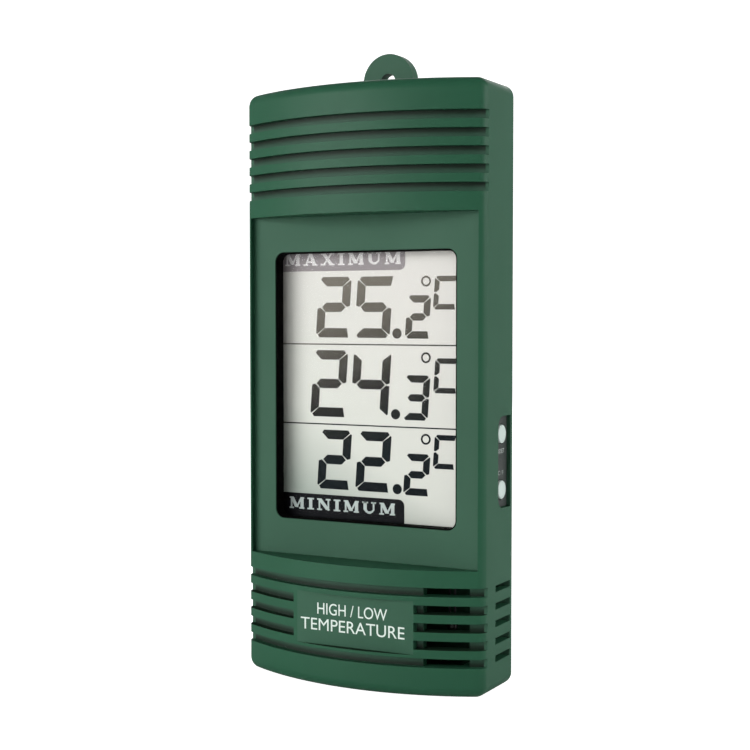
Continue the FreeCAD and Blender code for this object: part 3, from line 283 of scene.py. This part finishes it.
def merged_copy(name):
    """A CAD node's surface as one merged mesh, its flat areas joined into whole faces."""
    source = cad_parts[name].data
    points = np.empty(len(source.vertices) * 3)
    source.vertices.foreach_get("co", points)
    points = points.reshape(-1, 3)
    loops = np.empty(len(source.loops), int)
    source.loops.foreach_get("vertex_index", loops)
    whole, place = np.unique(np.round(points, 7), axis=0, return_inverse=True)
    triangles = place.reshape(-1)[loops].reshape(-1, 3)
    keep = (triangles[:, 0] != triangles[:, 1]) & (triangles[:, 1] != triangles[:, 2])
    keep &= triangles[:, 0] != triangles[:, 2]
    mesh = bpy.data.meshes.new(name + "_skin")
    mesh.from_pydata(whole.tolist(), [], triangles[keep].tolist())
    build = bmesh.new()
    build.from_mesh(mesh)
    bmesh.ops.remove_doubles(build, verts=build.verts, dist=2e-6)
    bmesh.ops.dissolve_limit(build, angle_limit=math.radians(0.3), verts=build.verts, edges=build.edges)
    build.to_mesh(mesh)
    build.free()
    return mesh


def moulding(name, node_name, body, finishes, edge_mm, choose=None, sharp_deg=28):
    """A moulded piece: the CAD surface with every sharp edge broken by a small radius. The choose function
    gives each face's finish from its middle and its normal."""
    mesh = merged_copy(node_name)
    count = len(mesh.polygons)
    mesh.polygons.foreach_set("use_smooth", np.ones(count, bool))
    mesh.set_sharp_from_angle(angle=math.radians(sharp_deg))
    piece = add_piece(name, mesh, body, finishes, [node_name])
    if choose:
        middle, normal = np.empty(count * 3), np.empty(count * 3)
        mesh.polygons.foreach_get("center", middle)
        mesh.polygons.foreach_get("normal", normal)
        mesh.polygons.foreach_set("material_index", choose(middle.reshape(-1, 3) / MM, normal.reshape(-1, 3)))
    bevel = piece.modifiers.new("edges", "BEVEL")
    bevel.width = edge_mm * MM
    bevel.segments = 2
    bevel.limit_method = "ANGLE"
    bevel.angle_limit = math.radians(sharp_deg)
    bevel.use_clamp_overlap = True
    bevel.harden_normals = True


# How many marks in a row have fronts at different levels, before the first level comes again.
LEVELS = 5


def prisms(name, outlines, front, back, step=0.0):
    """A mesh of upright prisms. Each outline is an array of (x, z) in mm that turns left, and it is swept
    from y = front to y = back. The front of each next outline lies one step nearer until the levels start
    again, so that strokes that cross don't share a plane."""
    points, faces, start = [], [], 0
    for order, outline in enumerate(outlines):
        ring = np.asarray(outline, float)
        count = len(ring)
        turn = np.arange(count)
        after = (turn + 1) % count
        near = front - step * (order % LEVELS)
        points += [np.insert(ring, 1, near, axis=1), np.insert(ring, 1, back, axis=1)]
        faces.append(tuple((start + turn).tolist()))
        faces.append(tuple((start + count + turn[::-1]).tolist()))
        faces += (start + np.column_stack([turn, count + turn, count + after, after])).tolist()
        start += 2 * count
    mesh = bpy.data.meshes.new(name)
    mesh.from_pydata((np.vstack(points) * MM).tolist(), [], faces)
    return mesh


SATIN, GRAINED, SHADED_GROOVE_SIDE, SHADED_GROOVE_FLOOR = range(4)


def front_finish(middle, normal):
    """Satin on the bands and their rounded corners, grained on the flat faces, the case's sides and the
    name plate, and two finishes with painted shade in the grooves: one on their floors, one on their upper
    and lower sides. A face is told by its normal and by its distance from the axis of the bands' arc."""
    across, depth, height = middle.T
    sideways, outwards, upright = np.abs(normal[:, 0]), -normal[:, 1], np.abs(normal[:, 2])
    from_axis = np.hypot(across, depth - BAND_CENTRE)
    floor = BAND_RADIUS - GROOVE_DEPTH
    near, margin = 0.1, 2
    finish = np.full(len(middle), SATIN)
    finish[(outwards > 0.9995) & (depth > PANEL - 0.5)] = GRAINED
    finish[(outwards > 0.99) & (np.abs(depth - label_level(across)) < near / 2)] = GRAINED
    finish[(sideways > 0.95) & (np.abs(across) > CASE_HALF - 2 * near)] = GRAINED
    finish[(np.abs(from_axis - floor) < near) & (outwards > 0.7)] = SHADED_GROOVE_FLOOR
    in_groove = (from_axis > floor - margin) & (from_axis < BAND_RADIUS + near / 10) & (depth < PANEL + 3)
    in_case = (height > margin) & (height < CASE_TOP - margin)
    finish[in_groove & in_case & (upright > 0.98)] = SHADED_GROOVE_SIDE
    return finish.astype(np.int32)


def label_level(across):
    """The name plate's level at a distance from the middle: a straight line between the chord's ends."""
    left, right = (BAND_CENTRE - math.sqrt(BAND_RADIUS ** 2 - end ** 2) for end in PLATE_ENDS)
    return left + (right - left) * (across - PLATE_ENDS[0]) / (PLATE_ENDS[1] - PLATE_ENDS[0])


moulding("case_front", "front_shell", "case", [green_satin, green_grained, green_groove, green_floor_painted_shade],
         0.25, front_finish)
moulding("case_back", "rear_cover", "case", [green_grained], 0.2)
moulding("battery_door_panel", "battery_door", "battery_door", [green_grained], 0.2)
moulding("window_bezel", "display_bezel", "case", [bezel_black], 0.1)
moulding("button_surround", "button_plate", "case", [plate_black], 0.08)
for cap in ("clear_button", "unit_button"):
    moulding(cap + "_cap", cap, cap, [button_white], 0.1)


# ------------------------------------------------------------------ display
def arc(centre_x, centre_z, radius, start_deg, end_deg, steps):
    """Points along an arc of a circle: its centre plus the radius times the cosine and sine of each angle."""
    angles = np.radians(np.linspace(start_deg, end_deg, steps))
    return np.column_stack([centre_x + radius * np.cos(angles), centre_z + radius * np.sin(angles)])


SEGMENTS = {"2": "abged", "5": "afgcd", "4": "fgbc", "3": "abgcd", "C": "afed"}
FREE_RIGHT = {"2": "d", "5": "a", "C": "ad"}
SLANT = math.tan(math.radians(4))


def segment_outlines(figure, left, low, width, height, stroke, gap=0.1):
    """The lit segments of one seven-segment figure, as slanted outlines.
    Each segment is a bar whose ends are mitred to meet its neighbours, with the figure's corners cut off.
    A level bar with nothing at its right is cut nearly square there. Every point then moves to the right
    by the slant times its height."""
    half, s, cut = height / 2, stroke, stroke * 0.42
    g = gap
    level = [(width - cut - g, 0), (cut + g, 0), (cut * 0.45 + g, cut * 0.7), (s + g * 0.4, s)]
    mitred = [(width - s - g * 0.4, s), (width - cut * 0.45 - g, cut * 0.7)]
    square = [(width - s * 0.22, s), (width, 0)]
    upright = np.array([(0, half + g + s * 0.12), (s * 0.38, half + g), (s, half + s * 0.5 + g),
                        (s, height - s - g), (cut * 0.3, height - cut * 0.8 - g), (0, height - cut - g)])
    mirror, flip = np.array([-1, 1]), np.array([1, -1])
    bars = {
        "g": np.array([(s * 0.5 + g, half), (s + g, half - s / 2), (width - s - g, half - s / 2),
                       (width - s * 0.5 - g, half), (width - s - g, half + s / 2), (s + g, half + s / 2)]),
        "f": upright, "b": upright * mirror + [width, 0],
        "e": upright * flip + [0, height], "c": upright * -1 + [width, height],
    }
    for key in "ad":
        free = key in FREE_RIGHT.get(figure, "")
        bars[key] = np.array(level[1:] + square if free else level + mitred)
    bars["a"] = bars["a"] * flip + [0, height]
    lean = np.array([[1, 0], [SLANT, 1]])
    return [turning_left(bars[key] @ lean + [left, low]) for key in SEGMENTS[figure]]


def turning_left(outline):
    """The same outline, listed so that it turns left all the way round, seen from the front."""
    ring = np.asarray(outline, float)
    following = np.roll(ring, -1, axis=0)
    area = np.sum(ring[:, 0] * following[:, 1] - following[:, 0] * ring[:, 1])
    return outline if area > 0 else outline[::-1]


# Each row of the display, in mm: for its two big figures the figure, left edge and width; the low edge and
# height of both; the dot's middle; the small figure with its left and low edges and its size; the middle of
# the degree ring; and the left and low edges and the size of the unit's letter.
ROWS = (
    {"big": (("2", -17.4, 9.9), ("5", -5.6, 10.5)), "low": 90.1, "height": 16.1, "dot": (7.1, 91.3),
     "small": ("2", 9.4, 90.0, 6.8, 11.2), "ring": (15.5, 104.8), "unit": (17.5, 97.5, 6.2, 8.6)},
    {"big": (("2", -19.2, 10.5), ("4", -6.9, 11.2)), "low": 68.9, "height": 17.8, "dot": (6.7, 70.2),
     "small": ("3", 8.7, 68.8, 7.3, 11.7), "ring": (15.5, 85.1), "unit": (17.6, 76.0, 6.4, 9.0)},
    {"big": (("2", -17.1, 9.7), ("2", -5.4, 9.9)), "low": 49.5, "height": 15.9, "dot": (7.2, 50.6),
     "small": ("2", 8.9, 49.2, 7.2, 10.9), "ring": (15.5, 64.0), "unit": (17.5, 56.5, 6.0, 8.8)},
)
BIG_STROKE, SMALL_STROKE, UNIT_STROKE = 2.5, 1.9, 1.4
DOT_RADIUS, RING_RADIUS, RING_WIDTH, RING_BLOCKS = 1.35, 1.42, 0.5, 24


def ring_outlines(x, z, radius, width, blocks):
    """A thin ring as short tapered blocks, laid end to end round a circle: the outer arc of each block,
    then its inner arc backwards."""
    outer = arc(x, z, radius, 0, 360, blocks + 1)
    inner = arc(x, z, radius - width, 0, 360, blocks + 1)
    return list(np.stack([outer[:-1], outer[1:], inner[1:], inner[:-1]], axis=1))


figures = []
for row in ROWS:
    for figure, left, width in row["big"]:
        figures += segment_outlines(figure, left, row["low"], width, row["height"], BIG_STROKE)
    figure, left, low, width, height = row["small"]
    figures += segment_outlines(figure, left, low, width, height, SMALL_STROKE)
    left, low, width, height = row["unit"]
    figures += segment_outlines("C", left, low, width, height, UNIT_STROKE)
    figures.append(arc(*row["dot"], DOT_RADIUS, 0, 345, 24))
    figures += ring_outlines(*row["ring"], RING_RADIUS, RING_WIDTH, RING_BLOCKS)


def bar(left, low, right, high):
    """A rectangle as an outline that turns left."""
    return [(left, low), (right, low), (right, high), (left, high)]


window_left, window_right = span("window_lens", 0)
low_edge, high_edge = span("window_lens", 2)
# The two lines between the rows: their heights, and half of their thickness.
ROW_LINES = (88.3, 66.9)
LINE_HALF = 0.17
figures += [bar(window_left, line - LINE_HALF, window_right, line + LINE_HALF) for line in ROW_LINES]
add_piece("lcd_figures", prisms("lcd_figures", figures, DISPLAY - INK, DISPLAY, step=INK_STEP), "case",
          [display_ink])

# Each word's dark tab: its right edge and its inner edge, and the round of the corner between them.
TAB_CORNER = 1.7
UPPER_TAB, LOWER_TAB = (9.5, 107.8), (9.3, 47.9)
upper_tab = np.vstack([(window_left, UPPER_TAB[1]),
                       arc(UPPER_TAB[0] - TAB_CORNER, UPPER_TAB[1] + TAB_CORNER, TAB_CORNER, -90, 0, 9),
                       (UPPER_TAB[0], high_edge), (window_left, high_edge)])
lower_tab = np.vstack([(window_left, low_edge), (LOWER_TAB[0], low_edge),
                       arc(LOWER_TAB[0] - TAB_CORNER, LOWER_TAB[1] - TAB_CORNER, TAB_CORNER, 0, 90, 9),
                       (window_left, LOWER_TAB[1])])
add_piece("lcd_word_tabs", prisms("lcd_word_tabs", [upper_tab, lower_tab], DISPLAY - INK, DISPLAY), "case",
          [tab_ink])

# Slab-serif capitals: strokes as (x0, z0, x1, z1, width) in shares of the cap height, and the advance.
THICK, THIN, SERIF = 0.3, 0.15, 0.13
LETTERS = {
    "M": (1.42, [(0.2, 0, 0.2, 1, THIN), (1.2, 0, 1.2, 1, THICK), (0.24, 1, 0.7, 0.12, THICK),
                 (0.7, 0.12, 1.16, 1, THIN), (0, SERIF / 2, 0.42, SERIF / 2, SERIF),
                 (0.94, SERIF / 2, 1.42, SERIF / 2, SERIF), (0.02, 1 - SERIF / 2, 0.3, 1 - SERIF / 2, SERIF),
                 (1.1, 1 - SERIF / 2, 1.4, 1 - SERIF / 2, SERIF)]),
    "A": (1.3, [(0.24, 0, 0.62, 1, THIN), (1.06, 0, 0.66, 1, THICK), (0.36, 0.3, 0.92, 0.3, THIN),
                (0, SERIF / 2, 0.46, SERIF / 2, SERIF), (0.82, SERIF / 2, 1.3, SERIF / 2, SERIF)]),
    "X": (1.3, [(0.26, 1, 1.04, 0, THICK), (1.04, 1, 0.26, 0, THIN), (0, SERIF / 2, 0.46, SERIF / 2, SERIF),
                (0.82, SERIF / 2, 1.3, SERIF / 2, SERIF), (0.02, 1 - SERIF / 2, 0.5, 1 - SERIF / 2, SERIF),
                (0.84, 1 - SERIF / 2, 1.28, 1 - SERIF / 2, SERIF)]),
    "I": (0.62, [(0.31, 0, 0.31, 1, THICK), (0, SERIF / 2, 0.62, SERIF / 2, SERIF),
                 (0, 1 - SERIF / 2, 0.62, 1 - SERIF / 2, SERIF)]),
    "N": (1.26, [(0.22, 0, 0.22, 1, THIN), (1.06, 0, 1.06, 1, THIN), (0.22, 1, 1.02, 0.06, THICK),
                 (0, SERIF / 2, 0.46, SERIF / 2, SERIF), (0, 1 - SERIF / 2, 0.32, 1 - SERIF / 2, SERIF),
                 (0.82, 1 - SERIF / 2, 1.26, 1 - SERIF / 2, SERIF)]),
    "U": (1.26, [(0.27, 0.3, 0.27, 1, THICK), (1.04, 0.3, 1.04, 1, THIN), (0.27, 0.34, 0.5, 0.08, 0.22),
                 (0.48, 0.1, 0.82, 0.1, 0.2), (0.8, 0.08, 1.04, 0.34, 0.15),
                 (0, 1 - SERIF / 2, 0.54, 1 - SERIF / 2, SERIF),
                 (0.82, 1 - SERIF / 2, 1.26, 1 - SERIF / 2, SERIF)]),
}
LETTER_SPACE = 0.3


def stroke_outline(x0, z0, x1, z1, width):
    """A straight stroke of even width, cut off level for a leaning stroke and square for a flat one."""
    if abs(z1 - z0) < 1e-6:
        return [(x0, z0 - width / 2), (x1, z0 - width / 2), (x1, z0 + width / 2), (x0, z0 + width / 2)]
    half = width / 2 * math.hypot(x1 - x0, z1 - z0) / abs(z1 - z0)
    return [(x0 - half, z0), (x0 + half, z0), (x1 + half, z1), (x1 - half, z1)]


def word_outlines(word, left, right, low, cap):
    """A word in slab-serif capitals, spread between two edges."""
    natural = sum(LETTERS[letter][0] for letter in word) + LETTER_SPACE * (len(word) - 1)
    stretch = (right - left) / (natural * cap)
    outlines, pen = [], left
    for letter in word:
        advance, strokes = LETTERS[letter]
        for x0, z0, x1, z1, width in strokes:
            outline = stroke_outline(x0, z0, x1, z1, width)
            outlines.append(turning_left([(pen + x * cap * stretch, low + z * cap) for x, z in outline]))
        pen += (advance + LETTER_SPACE) * cap * stretch
    return outlines


# Each word's left and right edge, base and cap height, in mm.
words = word_outlines("MAXIMUM", -27.0, 8.2, 109.3, 3.3) + word_outlines("MINIMUM", -25.8, 6.6, 43.6, 3.15)
word_front, word_back = DISPLAY - 1.5 * INK, DISPLAY - 0.9 * INK
add_piece("lcd_words", prisms("lcd_words", words, word_front, word_back, step=INK_STEP), "case", [tab_words])


# ------------------------------------------------------------------ printed words on the case
def printed(name, text, size_mm, width_mm, finish, to_place):
    """A line of plain capitals as a thin layer of ink. The text is drawn in its own plane, then placed."""
    curve = bpy.data.curves.new(name, "FONT")
    curve.body = text
    curve.align_x = "CENTER"
    curve.size = 1.0
    holder = bpy.data.objects.new(name + "_text", curve)
    bpy.context.scene.collection.objects.link(holder)
    bpy.context.view_layer.update()
    mesh = bpy.data.meshes.new_from_object(holder.evaluated_get(bpy.context.evaluated_depsgraph_get()))
    bpy.data.objects.remove(holder)
    points = np.empty(len(mesh.vertices) * 3)
    mesh.vertices.foreach_get("co", points)
    points = points.reshape(-1, 3)
    low, high = points.min(0), points.max(0)
    flat = (points[:, :2] - [(low[0] + high[0]) / 2, low[1]]) / [high[0] - low[0], high[1] - low[1]]
    flat *= [width_mm, size_mm]
    mesh.vertices.foreach_set("co", (to_place(flat) * MM).ravel())
    mesh.update()
    mesh.name = name
    return add_piece(name, mesh, "case", [finish])


LABEL_MIDDLE = 1.0


def on_label(base):
    """Places a line of print on the name plate, a hair in front of it, with its base at a height."""
    return lambda flat: np.column_stack([flat[:, 0] + LABEL_MIDDLE,
                                         label_level(flat[:, 0] + LABEL_MIDDLE) - INK, flat[:, 1] + base])


# Each line's height and width in mm, and the height of its base above the case's base.
printed("label_line_1", "HIGH / LOW", 3.0, 20.2, print_white, on_label(18.65))
printed("label_line_2", "TEMPERATURE", 3.1, 30.0, print_white, on_label(14.4))

plate_face = span("button_plate", 0)[1]
button_y = sum(span("clear_button", 1)) / 2


def on_plate(base):
    """Places a legend on the button plate, reading upright from the right."""
    return lambda flat: np.column_stack([np.full(len(flat), plate_face + INK), flat[:, 0] + button_y,
                                         flat[:, 1] + base])


printed("legend_upper", "RESET", 1.1, 4.2, print_grey, on_plate(60.8))
printed("legend_lower", "C / F", 1.1, 3.4, print_grey, on_plate(55.2))


# ------------------------------------------------------------------ studio
STAGE_GLOW = 0.88
# Each light: its place in metres, its power in watts, and its width and height in metres.
LIGHTS = (
    ("key", (-0.65, -0.92, 0.25), 10.5, 0.8, 0.6),
    ("front_fill", (-0.15, -1.2, 0.3), 2.6, 0.6, 0.4),
    ("right_strip", (0.9, 0.22, 0.35), 6.0, 0.5, 0.5),
    ("back_fill", (-0.2, 1.0, 0.6), 3.0, 0.8, 0.6),
)


def studio():
    """A round white bowl, soft lights and the camera. The bowl's profile is a flat floor, a quarter circle
    and an upright wall, turned about the vertical: a point is the profile's reach times the cosine and sine
    of the angle, at the profile's level. It glows to the camera, so that it shows as a plain white ground."""
    floor, bend, height, turns = 1.5, 0.6, 2.6, 96
    curve = np.radians(np.linspace(-90, 0, 12))
    reach = np.concatenate([[0.02, 0.4], floor + bend * np.cos(curve), [floor + bend]])
    level = np.concatenate([[0, 0], bend + bend * np.sin(curve), [height]])
    around = np.linspace(0, 2 * np.pi, turns, endpoint=False)[:, None]
    points = np.stack([reach * np.cos(around), reach * np.sin(around), level + 0 * around], axis=-1)
    index = np.arange(points.shape[0] * points.shape[1]).reshape(points.shape[:2])
    beside = np.roll(index, -1, axis=0)
    faces = np.stack([index[:, :-1], index[:, 1:], beside[:, 1:], beside[:, :-1]], axis=-1)
    mesh = bpy.data.meshes.new("studio_bowl")
    middle_disc = index[:, 0].tolist()
    mesh.from_pydata(points.reshape(-1, 3).tolist(), [], faces.reshape(-1, 4).tolist() + [middle_disc])
    mesh.polygons.foreach_set("use_smooth", np.ones(len(mesh.polygons), bool))
    mesh.flip_normals()
    bowl = bpy.data.objects.new("studio_bowl", mesh)
    white, tree, shader = new_material("studio_white", color=linear("#f2f2f2"), roughness=0.9, specular=0.05)
    seen = node(tree, "ShaderNodeLightPath")
    glow = node(tree, "ShaderNodeMath", {"operation": "MULTIPLY", 1: STAGE_GLOW},
                {0: (seen, "Is Camera Ray")})
    shader.inputs["Emission Color"].default_value = (1, 1, 1, 1)
    tree.links.new(glow.outputs["Value"], shader.inputs["Emission Strength"])
    mesh.materials.append(white)
    bpy.context.scene.collection.objects.link(bowl)
    target = Vector((0.0035, -0.0036, 0.0806))  # near the case's middle, in metres
    for name, place, power, wide, tall in LIGHTS:
        light = bpy.data.lights.new(name, "AREA")
        light.shape = "RECTANGLE"
        light.energy = power
        light.size = wide
        light.size_y = tall
        lamp = bpy.data.objects.new(name, light)
        lamp.location = place
        lamp.rotation_euler = (target - Vector(place)).to_track_quat("-Z", "Y").to_euler()
        bpy.context.scene.collection.objects.link(lamp)
    world = bpy.data.worlds.new("studio")
    world.use_nodes = True
    world.node_tree.nodes["Background"].inputs["Color"].default_value = (1, 1, 1, 1)
    world.node_tree.nodes["Background"].inputs["Strength"].default_value = 0.15
    bpy.context.scene.world = world
    camera = bpy.data.objects.new("camera", bpy.data.cameras.new("camera"))
    camera.data.lens = 69.1
    camera.data.sensor_width = 36
    camera.location = (0.1795, -0.3312, 0.0962)
    camera.rotation_euler = (target - camera.location).to_track_quat("-Z", "Y").to_euler()
    bpy.context.scene.collection.objects.link(camera)
    bpy.context.scene.camera = camera
    bpy.context.scene.view_settings.view_transform = "Standard"


studio()
